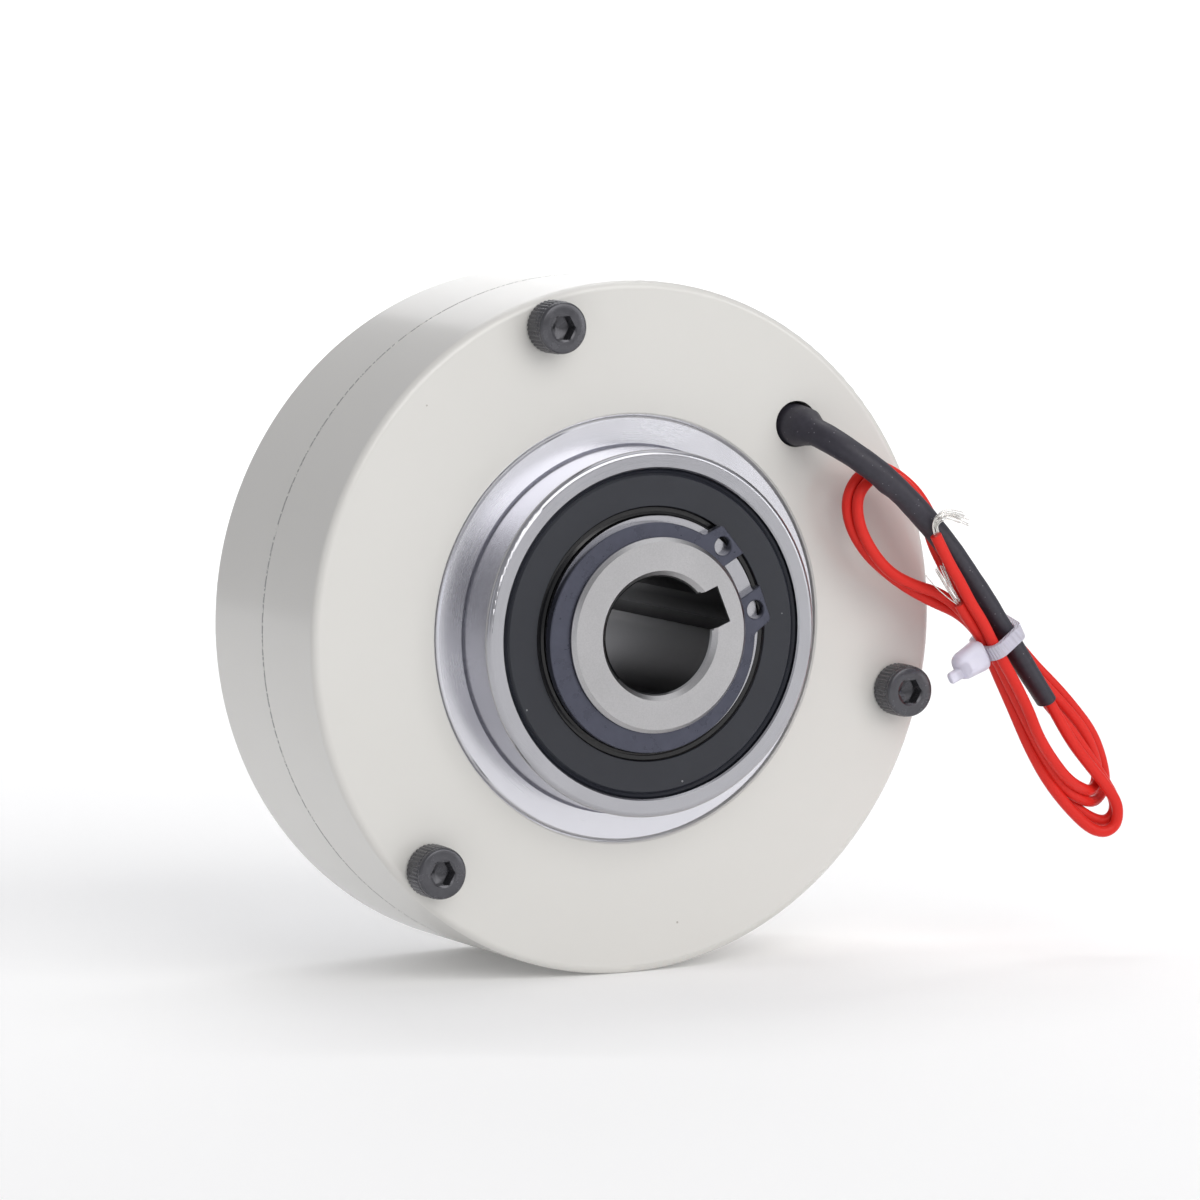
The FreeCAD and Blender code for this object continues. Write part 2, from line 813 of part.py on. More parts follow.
def cable_tie():
    """Band with rounded corners round the sleeve and the strands, its head and its cut tail,
    made about its own axis and then turned into the bundle's direction."""
    left = -sleeve_diameter / 2 - tie_clearance
    right = strand_offset() + wire_diameter + tie_clearance
    front = sleeve_depth - sleeve_diameter / 2 - tie_clearance
    back = upper_hank_depth + wire_diameter / 2 + tie_clearance
    inner = rounded_box(left, right, front, back, tie_width, tie_corner)
    outer = rounded_box(left - tie_band, right + tie_band, front - tie_band, back + tie_band,
                        tie_width, tie_corner + tie_band)
    head_front = sleeve_depth - tie_head_depth / 2
    head = Part.makeBox(tie_head_length, tie_head_depth, tie_head_width,
                        V(right, head_front, -tie_head_width / 2))
    outer_edges = [e for e in head.Edges if e.BoundBox.XMin > right]
    head = head.makeChamfer(tie_head_chamfer, outer_edges)
    tail_front = sleeve_depth - tie_tail_thickness / 2
    tail = Part.makeBox(tie_tail_length, tie_tail_thickness, tie_width,
                        V(right + tie_head_length, tail_front, -tie_width / 2))
    tie = outer.fuse([head, tail]).cut(inner).removeSplitter()
    here, down, side = tie_place()
    turn = math.degrees(math.atan2(-side.z, side.x))
    tie.rotate(V(0, 0, 0), V(0, 1, 0), turn)
    tie.translate(V(here.x, 0, here.z))
    return tie


def rounded_box(x_low, x_high, y_low, y_high, height, radius):
    box = Part.makeBox(x_high - x_low, y_high - y_low, height, V(x_low, y_low, -height / 2))
    return box.makeFillet(radius, [e for e in box.Edges if e.BoundBox.ZLength > height / 2])


def both_sides(name, front_shape):
    return {"front_" + name: front_shape, "rear_" + name: rear_of(front_shape)}


def build():
    winding_inner = cavity_inner + coil_clearance + bobbin_core
    winding_outer = flange_radius() - cavity_width * flange_share
    nodes = {
        "front_housing": front_housing(),
        "rear_housing": rear_housing(),
        "isolation_ring": isolation_ring(),
        "coil_bobbin": coil_bobbin(),
        "coil_winding": coil_layer(winding_inner, winding_outer),
        "coil_tape": coil_layer(winding_outer, winding_outer + tape_thickness),
        "clamp_screws": clamp_screws(),
        "hollow_shaft": hollow_shaft(),
        "rotor": rotor(),
        "rotor_key": rotor_key(),
        "front_retaining_ring": retaining_ring(front_ring_angle),
        "rear_retaining_ring": rear_of(retaining_ring(rear_ring_angle)),
        "lead_sleeve": lead_sleeve(),
        "lower_hank": lower_hank(),
        "upper_hank": upper_hank(),
        "wire_end_a": tube("wire end a", end_route(-1, end_a_points), wire_diameter),
        "wire_end_b": tube("wire end b", end_route(1, end_b_points), wire_diameter),
        "strand_cores": strand_cores(),
        "cable_tie": cable_tie(),
    }
    nodes.update(both_sides("hub", hub()))
    nodes.update(both_sides("felt_seal", felt_seal()))
    nodes.update(both_sides("spacer", spacer()))
    nodes.update(both_sides("bearing_outer_ring", bearing_outer_ring()))
    nodes.update(both_sides("bearing_inner_ring", bearing_inner_ring()))
    nodes.update(both_sides("bearing_balls", bearing_balls()))
    nodes.update(both_sides("bearing_cage", bearing_cage()))
    nodes.update(both_sides("bearing_outer_seal", bearing_seal(bearing_out, 1)))
    nodes.update(both_sides("bearing_inner_seal", bearing_seal(bearing_in, -1)))
    return nodes


for node, shape in build().items():
    if not shape.isValid():
        print("invalid", node)
    shape.exportStep("parts/%s.step" % node)
    print("%-28s solids %2d  volume %10.2f" % (node, len(shape.Solids), shape.Volume))
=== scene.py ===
# %% [markdown]
# # A hollow-shaft electromagnetic brake
# The imported CAD model is the frame: every housing, ring, ball and shaft comes from it at its real
# size and place. Blender adds what CAD leaves plain: the sleeve and the red wires, the cable tie,
# the knurled screw heads, and a finish for each surface. Positions are written in millimetres, as
# on a drawing, and turned into metres in one place.

# %% Load the frame, and a way to read a part's box
import bpy
import bmesh
import json
import math
import random
from mathutils import Matrix, Vector


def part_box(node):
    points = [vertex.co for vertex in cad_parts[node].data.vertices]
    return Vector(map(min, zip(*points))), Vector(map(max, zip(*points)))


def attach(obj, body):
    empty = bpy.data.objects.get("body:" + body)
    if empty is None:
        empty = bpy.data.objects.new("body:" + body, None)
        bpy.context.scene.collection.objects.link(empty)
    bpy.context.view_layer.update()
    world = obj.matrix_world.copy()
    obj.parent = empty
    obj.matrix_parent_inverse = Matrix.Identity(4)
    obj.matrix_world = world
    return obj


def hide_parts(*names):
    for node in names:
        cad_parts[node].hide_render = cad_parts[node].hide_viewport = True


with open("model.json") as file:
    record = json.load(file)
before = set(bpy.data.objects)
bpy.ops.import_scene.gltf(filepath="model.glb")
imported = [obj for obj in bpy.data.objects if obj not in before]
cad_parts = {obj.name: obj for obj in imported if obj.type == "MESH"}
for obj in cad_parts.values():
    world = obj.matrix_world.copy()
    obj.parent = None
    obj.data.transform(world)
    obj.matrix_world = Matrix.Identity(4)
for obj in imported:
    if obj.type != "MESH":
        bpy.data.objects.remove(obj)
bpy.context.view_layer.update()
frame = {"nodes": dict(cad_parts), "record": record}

nodes = frame["nodes"]
housing = "housing"


def mm(x, y, z):
    """A place on the drawing, in millimetres, as a place in the scene."""
    return Vector((x, y, z)) / 1000


def in_scene(name, data):
    thing = bpy.data.objects.new(name, data)
    bpy.context.scene.collection.objects.link(thing)
    return thing


def smooth_faces(data):
    for face in data.polygons:
        face.use_smooth = True


# %% [markdown]
# ## Camera
# The photograph was taken from far away with a long lens, so the brake is nearly without
# perspective. The camera's place was found by fitting the round edges of the body, the hub and
# the bearing. It could be given angles, but a place and a point to look at are easier to read,
# and a camera that tracks a direction with Z up has no roll.

# %% The camera
camera_place = mm(-446.554, -876.815, 108.616)
camera_way = Vector((0.46038, 0.88101, -0.10893))
camera_data = bpy.data.cameras.new("camera")
camera_data.sensor_width = 36
camera_data.lens = 226.376
camera_data.clip_start = 0.05
camera_data.clip_end = 50
camera = in_scene("camera", camera_data)
camera.location = camera_place
camera.rotation_mode = "QUATERNION"
camera.rotation_quaternion = camera_way.to_track_quat("-Z", "Y")
bpy.context.scene.camera = camera
print("camera at", tuple(round(v, 3) for v in camera.location), "lens", camera_data.lens)

# %% [markdown]
# ## Lead sleeve
# The coil's leads come out of a plain hole in the front face inside one black heat-shrink sleeve.
# It is swollen where it leaves the hole, and pinched flat towards its open end, where the two
# wires lie one behind the other. A bevelled curve would be round all along, so the tube is made
# of rings set along the route's smooth line, each with its own width, and bridged.

# %% The sleeve's route, from the coil to the open end
sleeve_route = [
    (24.5, -25.9, 25.28), (24.5, -32.4, 25.28), (28.4, -38.2, 21.9), (34.0, -38.9, 17.7),
    (39.4, -38.9, 12.4), (44.1, -38.9, 6.8), (48.5, -38.9, 0.8), (53.5, -38.9, -6.7),
    (56.9, -38.9, -11.5),
]


def add_spline(line, route, steps, radius=1.0):
    """Adds one open NURBS spline that has the route's points as its control points."""
    spline = line.splines.new("NURBS")
    spline.points.add(len(route) - 1)
    for point, place in zip(spline.points, route):
        point.co = (*mm(*place), 1)
        point.radius = radius
    spline.order_u = 3
    spline.use_endpoint_u = True
    spline.resolution_u = steps


def smooth_line(name, route, thickness=0.0):
    """A curve along the route, round if it has a thickness. The points carry the real radius."""
    line = bpy.data.curves.new(name, "CURVE")
    line.dimensions = "3D"
    add_spline(line, route, 10, thickness / 2000)
    line.bevel_depth = 1 if thickness else 0
    line.bevel_resolution = 6
    line.use_fill_caps = thickness > 0
    return line


def points_on(route):
    """Points read from the route's own smooth line."""
    guide = in_scene("guide", smooth_line("guide", route))
    line = bpy.data.meshes.new_from_object(guide)
    places = [v.co.copy() for v in line.vertices]
    bpy.data.objects.remove(guide)
    bpy.data.meshes.remove(line)
    return places


def length_of(line):
    """The length of a line of points, in millimetres."""
    return sum((b - a).length for a, b in zip(line, line[1:])) * 1000


sleeve_line = points_on(sleeve_route)
print("sleeve line: %d points, %.1f mm" % (len(sleeve_line), length_of(sleeve_line)))

# %% [markdown]
# Each ring has two half widths: across the view, and in depth. They are read from short tables of
# (distance along the sleeve, half width), with a smooth step between the rows, and a third table
# moves the rings aside where the sleeve has a kink. The rings turn with the line by the smallest
# turn from one point to the next, so the tube doesn't twist.

# %% Rings along the line, bridged into a tube
sleeve_across = [(0, 2.7), (4.7, 2.7), (5.7, 2.5), (6.6, 2.2), (7.4, 1.82), (9, 1.76), (15, 1.67),
                 (18, 1.64), (19.6, 1.7), (21.2, 1.58), (24, 1.55), (28, 1.57), (38, 1.42),
                 (46, 1.34), (51, 1.38), (58, 1.18)]
sleeve_deep = [(0, 2.7), (4.7, 2.7), (5.7, 2.5), (6.6, 2.25), (7.4, 1.9), (9, 1.85), (46, 1.8),
               (58, 1.8)]
sleeve_shift = [(0, 0), (5.2, 0), (6.2, 0.2), (7.2, 0), (18, 0), (19.6, -0.08), (21.2, 0), (58, 0)]
sleeve_wall = 0.3
mouth_rounding = 0.1
mouth_recess = 3.0
ring_sides = 28


def read_table(table, at):
    """The table's value at a distance, eased between its rows."""
    for (low, before), (high, after) in zip(table, table[1:]):
        if at <= high:
            share = min(max((at - low) / (high - low), 0), 1)
            share = share * share * (3 - 2 * share)
            return before + (after - before) * share
    return table[-1][1]


def ring(mesh, centre, turn, across, deep):
    """One ring of the tube, flat across its way, and its edges."""
    size = Matrix.Diagonal((deep / 1000, across / 1000, 1, 1))
    place = Matrix.Translation(centre) @ turn.to_matrix().to_4x4() @ size
    made = bmesh.ops.create_circle(mesh, cap_ends=False, segments=ring_sides, radius=1,
                                   matrix=place)
    corners = set(made["verts"])
    return [e for v in corners for e in v.link_edges if e.verts[0] == v]


def bridge(mesh, rings):
    for one, next_one in zip(rings, rings[1:]):
        bmesh.ops.bridge_loops(mesh, edges=one + next_one)


def turns_along(line):
    """For each point, the turn that takes Z to the line's way and X to depth."""
    ways = [(b - a).normalized() for a, b in zip(line, line[1:])]
    ways.append(ways[-1])
    turn = ways[-1].to_track_quat("Z", "Y")
    turns = [turn]
    for way, before in zip(ways[::-1][1:], ways[::-1]):
        turn = before.rotation_difference(way) @ turn
        turns.append(turn)
    return turns[::-1]


def finish_mesh(name, mesh, angle=35):
    """Closes a bmesh into a piece that rides on the housing."""
    bmesh.ops.remove_doubles(mesh, verts=mesh.verts, dist=1e-7)
    bmesh.ops.recalc_face_normals(mesh, faces=mesh.faces)
    data = bpy.data.meshes.new(name)
    mesh.to_mesh(data)
    mesh.free()
    piece = in_scene(name, data)
    smooth_faces(data)
    data.set_sharp_from_angle(angle=math.radians(angle))
    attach(piece, housing)
    print("%s: %d faces" % (name, len(data.polygons)))
    return piece


def make_sleeve():
    mesh = bmesh.new()
    turns = turns_along(sleeve_line)
    rings = []
    at = 0.0
    for i, (place, turn) in enumerate(zip(sleeve_line, turns)):
        if i:
            at += (place - sleeve_line[i - 1]).length * 1000
        lump = 0.02 * math.sin(at * 0.8) + 0.01 * math.sin(at * 2.1 + 1)
        across = read_table(sleeve_across, at) + lump
        deep = read_table(sleeve_deep, at) + lump
        aside = turn @ Vector((0, read_table(sleeve_shift, at) / 1000, 0))
        rings.append(ring(mesh, place + aside, turn, across, deep))
    way = turns[-1] @ Vector((0, 0, 0.001))
    mouth = sleeve_line[-1]
    for thinner, forward in ((sleeve_wall / 2, mouth_rounding), (sleeve_wall, 0),
                             (sleeve_wall, -mouth_recess)):
        rings.append(ring(mesh, mouth + way * forward, turns[-1], across - thinner, deep - thinner))
    bridge(mesh, rings)
    for end in (rings[0], rings[-1]):
        bmesh.ops.edgeloop_fill(mesh, edges=end)
    return finish_mesh("sleeve", mesh, angle=50)


sleeve = make_sleeve()
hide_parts("lead_sleeve")

# %% [markdown]
# ## Red wires
# Two red wires leave the sleeve, one in front of the other. Each goes down round a low loop, back
# up through the tie, round the loop at the upper left, behind the sleeve twice, down round a
# second low loop, and up to its stripped end. So each wire is one curve, and the order of the
# strands in the tie comes from the route itself: the front wire stays in front of the back one.

# %% The two routes, each from the sleeve's mouth to the stripped end
wire_diameter = 1.5
front_route = [
    (56.2, -39.5, -10.4), (57.3, -39.5, -12.1), (60.1, -39.6, -16.7), (62.6, -39.6, -19.7),
    (65.5, -39.6, -22.9), (67.4, -39.6, -25.5), (67.6, -39.5, -27.5), (67.0, -39.4, -28.8),
    (65.5, -39.2, -29.4), (63.4, -39.0, -28.6), (60.4, -38.8, -25.8), (57.3, -38.6, -22.1),
    (54.7, -38.3, -17.6), (52.5, -38.2, -12.9), (50.5, -38.1, -8.8), (48.9, -38.0, -5.1),
    (47.3, -37.9, -2.4), (44.9, -37.6, 0.8), (41.8, -37.2, 3.2), (38.0, -36.8, 4.4),
    (34.7, -36.5, 6.1), (32.1, -36.2, 9.1), (30.4, -36.0, 12.5), (30.1, -35.9, 15.9),
    (31.7, -35.9, 18.1), (34.0, -36.0, 19.0), (36.7, -36.1, 18.0), (39.1, -36.2, 15.5),
    (40.3, -36.3, 12.5), (41.0, -36.4, 9.8), (42.7, -36.4, 6.6), (45.0, -36.4, 3.3),
    (48.2, -36.3, 0.0), (50.9, -36.3, -2.7), (53.4, -36.5, -5.3), (56.4, -36.9, -8.4),
    (58.9, -37.1, -10.9), (61.5, -37.2, -13.5), (64.0, -37.1, -16.4), (65.6, -36.9, -19.7),
    (66.1, -36.7, -22.0), (65.8, -36.8, -23.3), (64.4, -37.9, -23.9), (62.8, -38.9, -23.6),
    (59.7, -40.1, -22.1), (56.9, -40.7, -19.2), (54.5, -41.0, -15.9), (53.0, -41.1, -12.5),
    (51.1, -41.2, -9.1), (49.6, -41.2, -6.6), (48.1, -41.2, -4.3), (47.2, -41.1, -2.7),
    (46.0, -41.0, -0.4), (44.1, -41.1, 2.2), (42.5, -41.1, 5.0), (40.6, -41.1, 7.9),
    (38.8, -41.2, 11.2),
]
back_route = [
    (56.3, -38.1, -10.4), (57.5, -38.1, -12.0), (60.9, -38.2, -15.5), (63.5, -38.2, -18.9),
    (66.0, -38.2, -22.3), (67.9, -38.1, -25.1), (68.0, -38.0, -26.9), (67.1, -37.8, -28.0),
    (65.6, -37.6, -28.0), (63.2, -37.2, -26.7), (60.5, -37.0, -24.2), (57.9, -36.9, -20.9),
    (55.9, -36.8, -17.1), (53.6, -36.9, -13.3), (51.6, -36.8, -9.7), (49.6, -36.7, -5.4),
    (48.0, -36.5, -2.3), (45.3, -36.2, 0.3), (41.4, -35.8, 2.0), (37.9, -35.4, 3.9),
    (34.7, -35.1, 6.2), (31.8, -34.9, 8.9), (29.7, -34.7, 12.4), (29.3, -34.6, 15.9),
    (31.0, -34.6, 18.7), (33.8, -34.7, 20.0), (36.7, -34.8, 18.7), (39.5, -34.9, 16.4),
    (41.5, -35.0, 13.4), (42.7, -35.1, 10.8), (43.9, -35.1, 7.9), (46.4, -35.1, 3.9),
    (49.6, -35.0, 0.4), (52.4, -35.0, -2.2), (55.0, -35.1, -4.7), (57.3, -35.5, -7.4),
    (60.1, -35.8, -10.1), (62.8, -35.9, -13.0), (65.7, -35.8, -16.4), (67.4, -35.6, -20.1),
    (68.2, -35.4, -23.6), (66.3, -36.3, -25.6), (63.5, -38.0, -25.3), (60.0, -38.8, -23.5),
    (57.3, -39.2, -20.0), (54.9, -39.4, -16.2), (52.7, -39.5, -12.2), (50.6, -39.6, -8.5),
    (48.7, -39.6, -5.0), (47.0, -39.7, -3.3), (45.5, -39.8, -1.3), (44.3, -39.9, 0.2),
    (43.1, -40.0, 2.0),
]


def make_wire(name, route):
    wire = in_scene(name, smooth_line(name, route, wire_diameter))
    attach(wire, housing)
    print("%s: %.1f mm long" % (name, length_of(points_on(route))))
    return wire


front_wire = make_wire("front_wire", front_route)
back_wire = make_wire("back_wire", back_route)

# %% [markdown]
# ## Stripped ends
# Each wire ends in a tuft of fine tinned strands. One tuft curls to the right over the sleeve,
# the other fans out, with one stray strand. They are thin curves that start side by side at the
# end of the insulation and part on the way. A fixed seed gives the same tufts on every run.

# %% Tufts of strands
strand_diameter = 0.15
strand_count = 11
strand_ring_radius = 0.36
curled_way = [(39.3, -41.2, 10.6), (38.4, -41.3, 12.2), (38.7, -41.8, 13.6), (40.2, -42.0, 14.0),
              (42.4, -41.9, 13.1)]
fanned_way = [(43.4, -40.0, 1.6), (42.0, -40.2, 3.3), (40.9, -40.4, 4.9), (39.8, -40.5, 6.8)]
stray_way = [(43.3, -40.1, 1.6), (41.6, -40.5, 2.5), (39.4, -40.7, 4.2), (38.2, -40.6, 5.4),
             (37.6, -40.5, 6.2)]


def make_tuft(name, way, spread, seed, strays=()):
    """Strands that follow a way and part towards its end, as one mesh."""
    dice = random.Random(seed)
    line = bpy.data.curves.new(name, "CURVE")
    line.dimensions = "3D"
    line.bevel_depth = strand_diameter / 2000
    line.bevel_resolution = 2
    line.use_fill_caps = True
    routes = []
    for i in range(strand_count):
        angle = 2 * math.pi * i / strand_count
        lean = Vector([dice.uniform(-1, 1) for _ in range(3)])
        reach = dice.uniform(0.8, 1.1)
        routes.append([])
        for j, place in enumerate(way):
            part = j / (len(way) - 1)
            ring_place = Vector((math.cos(angle), 0, math.sin(angle))) * strand_ring_radius
            routes[-1].append(Vector(place) + ring_place + lean * spread * part ** 1.5 * reach)
    routes += [[Vector(p) for p in stray] for stray in strays]
    for route in routes:
        add_spline(line, route, 6)
    draft = in_scene(name + "_draft", line)
    data = bpy.data.meshes.new_from_object(draft)
    bpy.data.objects.remove(draft)
    tuft = in_scene(name, data)
    smooth_faces(data)
    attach(tuft, housing)
    print("%s: %d strands" % (name, len(routes)))
    return tuft


curled_tuft = make_tuft("curled_tuft", curled_way, 0.7, 3)
fanned_tuft = make_tuft("fanned_tuft", fanned_way, 0.55, 5, [stray_way])
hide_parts("lower_hank", "wire_end_a")
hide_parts("upper_hank", "wire_end_b")
for tuft in (curled_tuft, fanned_tuft):
    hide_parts("strand_cores")

# %% [markdown]
# ## Cable tie
# A small nylon tie holds the sleeve and the wires together. A real tie is pulled tight, so its
# band is the shortest loop round all that it holds. That is what a convex hull gives: each strand
# that passes the tie's plane gets a disc, the hull goes round the discs, and it is thickened into
# a strap. If a wire is moved, the band follows it. The tie is built on its own axes: X across the
# bundle, Y in depth, Z along it, in millimetres. Then it is turned and set in place.

# %% The tie's own axes on the bundle
tie_centre = mm(51.1, 0, -2.9)
down = Vector((0.614, 0, -0.789)).normalized()
across = Vector((-0.789, 0, -0.614)).normalized()
tie_slant = math.radians(11)
tie_width = 1.85
tie_lift = 0.45
bundle_reach = 8
sleeve_at_tie = 46
tie_matrix = (Matrix.Translation(tie_centre - down * tie_lift / 1000)
              @ Matrix((across, Vector((0, 1, 0)), down)).transposed().to_4x4()
              @ Matrix.Rotation(tie_slant, 4, "Y"))
tie_inverse = tie_matrix.inverted()


def crossings(line):
    """Where a line passes the tie's plane, on the tie's axes."""
    own = [tie_inverse @ place * 1000 for place in line]
    return [a.lerp(b, a.z / (a.z - b.z)) for a, b in zip(own, own[1:])
            if a.z * b.z < 0 and abs(a.x) < bundle_reach]


held = []
for route in (front_route, back_route):
    held += [(place, wire_diameter / 2, wire_diameter / 2) for place in crossings(points_on(route))]
sleeve_half_sizes = [read_table(table, sleeve_at_tie) for table in (sleeve_across, sleeve_deep)]
held += [(place, *sleeve_half_sizes) for place in crossings(sleeve_line)]
print("the tie holds", len(held), "strands")

# %% The band
band_thickness = 0.75
band_play = 0.08


def make_band():
    mesh = bmesh.new()
    for place, half_across, half_deep in held:
        size = Matrix.Diagonal((half_across + band_play, half_deep + band_play, 1, 1))
        for level in (-tie_width / 2, tie_width / 2):
            spot = Matrix.Translation((place.x, place.y, level)) @ size
            bmesh.ops.create_circle(mesh, cap_ends=False, segments=36, radius=1, matrix=spot)
    hull = bmesh.ops.convex_hull(mesh, input=mesh.verts[:])
    inner = hull["geom_interior"] + hull["geom_unused"]
    loose = {v for v in inner if isinstance(v, bmesh.types.BMVert)}
    loose |= {v for v in mesh.verts if not v.link_faces}
    bmesh.ops.delete(mesh, geom=list(loose), context="VERTS")
    bmesh.ops.recalc_face_normals(mesh, faces=mesh.faces)
    ends = [f for f in mesh.faces if abs(f.normal.z) > 0.9]
    bmesh.ops.delete(mesh, geom=ends, context="FACES")
    bmesh.ops.remove_doubles(mesh, verts=mesh.verts, dist=0.03)
    bmesh.ops.solidify(mesh, geom=mesh.faces[:], thickness=-band_thickness)
    return mesh


# %% [markdown]
# The head is a rounded block that the strap passes through, and the cut tail sticks out of it
# in line with the strap.

# %% The head and the tail
head_centre = (7.15, -40.7, -0.35)
head_size = (4.9, 3.1, 4.4)
tail_centre = (9.4, -41.1, 0.1)
tail_size = (3.4, 1.1, 1.7)


def add_block(mesh, centre, size, taper, rounding):
    """A rounded block, its left end scaled by the taper."""
    place = Matrix.Translation(centre) @ Matrix.Diagonal((*size, 1))
    made = bmesh.ops.create_cube(mesh, size=1, matrix=place)
    far = [v for v in made["verts"] if v.co.x > centre[0]]
    bmesh.ops.scale(mesh, verts=far, vec=(1, taper, taper),
                    space=Matrix.Translation(-Vector(centre)))
    edges = list({e for v in made["verts"] for e in v.link_edges})
    bmesh.ops.bevel(mesh, geom=edges, offset=rounding, offset_type="OFFSET", affect="EDGES",
                    segments=6, profile=0.5, material=-1)


def make_head():
    mesh = bmesh.new()
    add_block(mesh, head_centre, head_size, 0.8, 1.25)
    add_block(mesh, tail_centre, tail_size, 0.9, 0.45)
    return mesh


def place_tie(name, mesh):
    bmesh.ops.transform(mesh, matrix=Matrix.Scale(0.001, 4), verts=mesh.verts)
    bmesh.ops.transform(mesh, matrix=tie_matrix, verts=mesh.verts)
    piece = finish_mesh(name, mesh)
    return piece


tie_band = place_tie("tie_band", make_band())
tie_head = place_tie("tie_head", make_head())
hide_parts("cable_tie")
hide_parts("cable_tie")

# %% [markdown]
# ## Clamp screws
# Three black socket head cap screws hold the halves together. Their heads are knurled round the
# side, with a plain chamfered band on top and a hexagon socket with a small countersink. A head
# is made by pulling one circle of edges from place to place: a radius that may change with the
# angle makes the knurl and the hexagon out of the same circle.

# %% One head, pulled from a circle
body_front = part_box("front_housing")[0].y * 1000
screw_angles = [105.9 + 120 * i for i in range(3)]
screw_circle = 40.65
knurl_teeth = 36
head_sides = knurl_teeth * 4
socket_apothem = 1.5
knurl_depth = 0.13


def plain(radius):
    return lambda angle: radius


def knurled(radius):
    return lambda angle: radius - knurl_depth * (0.5 + 0.5 * math.cos(knurl_teeth * angle)) ** 2


def hexagonal(angle):
    return socket_apothem / math.cos(angle % (math.pi / 3) - math.pi / 6)


head_profile = [
    (plain(2.6), 0.0), (plain(3.2), 0.0), (knurled(3.28), -0.05), (knurled(3.4), -0.2),
    (knurled(3.4), -2.75), (knurled(3.36), -2.95), (plain(3.24), -3.05), (plain(3.3), -3.2),
    (plain(3.32), -3.4), (plain(3.25), -3.65), (plain(3.12), -3.8), (plain(3.0), -3.85),
    (plain(2.2), -3.85), (plain(1.84), -3.85), (plain(1.76), -3.8), (hexagonal, -3.72),
    (hexagonal, -2.0), (hexagonal, -1.85), (plain(1.3), -1.8), (plain(0.05), -1.35),
]


def make_head_ring(mesh, loop, shape, height, centre):
    """Pulls a new loop of edges out of the last one and sets its corners."""
    pulled = bmesh.ops.extrude_edge_only(mesh, edges=loop)
    corners = [v for v in pulled["geom"] if isinstance(v, bmesh.types.BMVert)]
    for corner in corners:
        angle = math.atan2(corner.co.z - centre.z, corner.co.x - centre.x)
        reach = shape(angle)
        corner.co = centre + mm(reach * math.cos(angle), height, reach * math.sin(angle))
    return [e for e in pulled["geom"] if isinstance(e, bmesh.types.BMEdge)]


def add_screw_head(mesh, centre):
    lying = Matrix.Translation(centre) @ Matrix.Rotation(math.radians(90), 4, "X")
    first = head_profile[0][0](0) / 1000
    made = bmesh.ops.create_circle(mesh, cap_ends=False, segments=head_sides, radius=first,
                                   matrix=lying)
    loop = [e for v in made["verts"] for e in v.link_edges if e.verts[0] == v]
    bmesh.ops.edgeloop_fill(mesh, edges=loop)
    for shape, height in head_profile[1:]:
        loop = make_head_ring(mesh, loop, shape, height, centre)
    bmesh.ops.edgeloop_fill(mesh, edges=loop)


def make_screws():
    mesh = bmesh.new()
    for angle in screw_angles:
        turn = math.radians(angle)
        centre = mm(screw_circle * math.cos(turn), body_front, screw_circle * math.sin(turn))
        add_screw_head(mesh, centre)
    return finish_mesh("screw_heads", mesh, angle=28)


screw_heads = make_screws()
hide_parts("clamp_screws")

# %% [markdown]
# ## Finishes
# Every finish is built from nodes in code. One small class wraps an output, so that sums on it
# are written as sums, and another makes any node from its type, its settings and its inputs.
# All of them read Object coordinates: every piece sits at the origin, so these are millimetres
# on the brake itself, and turned marks can follow the shaft's axis on every part.

# %% Readings and finishes
class Reading:
    """An output of a finish's nodes. Sums on it add Math nodes."""

    def __init__(self, finish, socket):
        self.finish = finish
        self.socket = socket

    def maths(self, operation, *others):
        return self.finish.maths(operation, self, *others)

    def __add__(self, other):
        return self.maths("ADD", other)

    __radd__ = __add__

    def __sub__(self, other):
        return self.maths("SUBTRACT", other)

    def __rsub__(self, other):
        return self.finish.maths("SUBTRACT", other, self)

    def __mul__(self, other):
        return self.maths("MULTIPLY", other)

    __rmul__ = __mul__

    def __gt__(self, other):
        return self.maths("GREATER_THAN", other)

    def __lt__(self, other):
        return self.maths("LESS_THAN", other)


